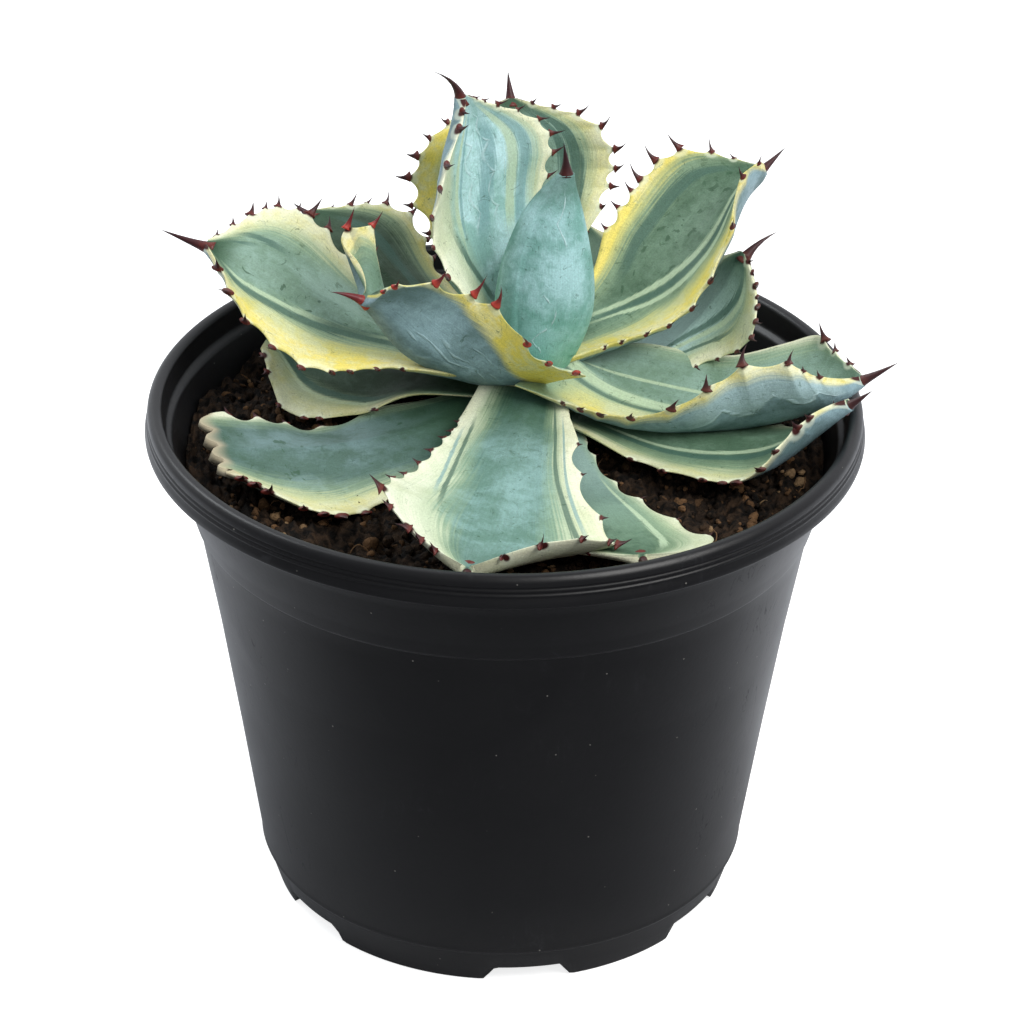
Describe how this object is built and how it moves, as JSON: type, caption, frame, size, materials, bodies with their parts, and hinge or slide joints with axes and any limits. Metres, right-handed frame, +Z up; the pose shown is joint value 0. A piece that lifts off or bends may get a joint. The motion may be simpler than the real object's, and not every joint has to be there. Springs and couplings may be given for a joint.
{
  "type": "potted agave",
  "caption": "Variegated agave with wavy, toothed, spine-tipped leaves spreading from a short stem, growing in soil in a round tapered nursery pot.",
  "frame": {"origin": "on the pot's axis, on the plane of its foot ring", "axes": "+Z up out of the pot; -Y is the front, the side the broad drooping leaf points to; the pot is round about Z"},
  "size_m": [0.1523, 0.1498, 0.1781],
  "materials": {
    "leaf_green": "waxy grey-green leaf with cream-yellow margins and dark maroon teeth",
    "bud_green": "waxy blue-green furled leaves",
    "stem_pale": "pale green stem",
    "soil_brown": "crumbly dark potting soil",
    "pot_black": "satin black moulded polypropylene"
  },
  "bodies": {
    "root": {"pot": "pot_black", "soil": "soil_brown", "stem": "stem_pale", "bud": "bud_green", "leaf_inner_left": "leaf_green", "leaf_inner_back": "leaf_green", "leaf_upper_right": "leaf_green", "leaf_small_left": "leaf_green", "leaf_long_left": "leaf_green", "leaf_mid_left": "leaf_green", "leaf_mid_right": "leaf_green", "leaf_long_right": "leaf_green", "leaf_low_right": "leaf_green", "leaf_low_front": "leaf_green", "leaf_broad_front": "leaf_green", "leaf_flat_left": "leaf_green", "leaf_low_left": "leaf_green", "leaf_back_left": "leaf_green", "leaf_back": "leaf_green", "leaf_back_right": "leaf_green"}
  },
  "joints": []
}
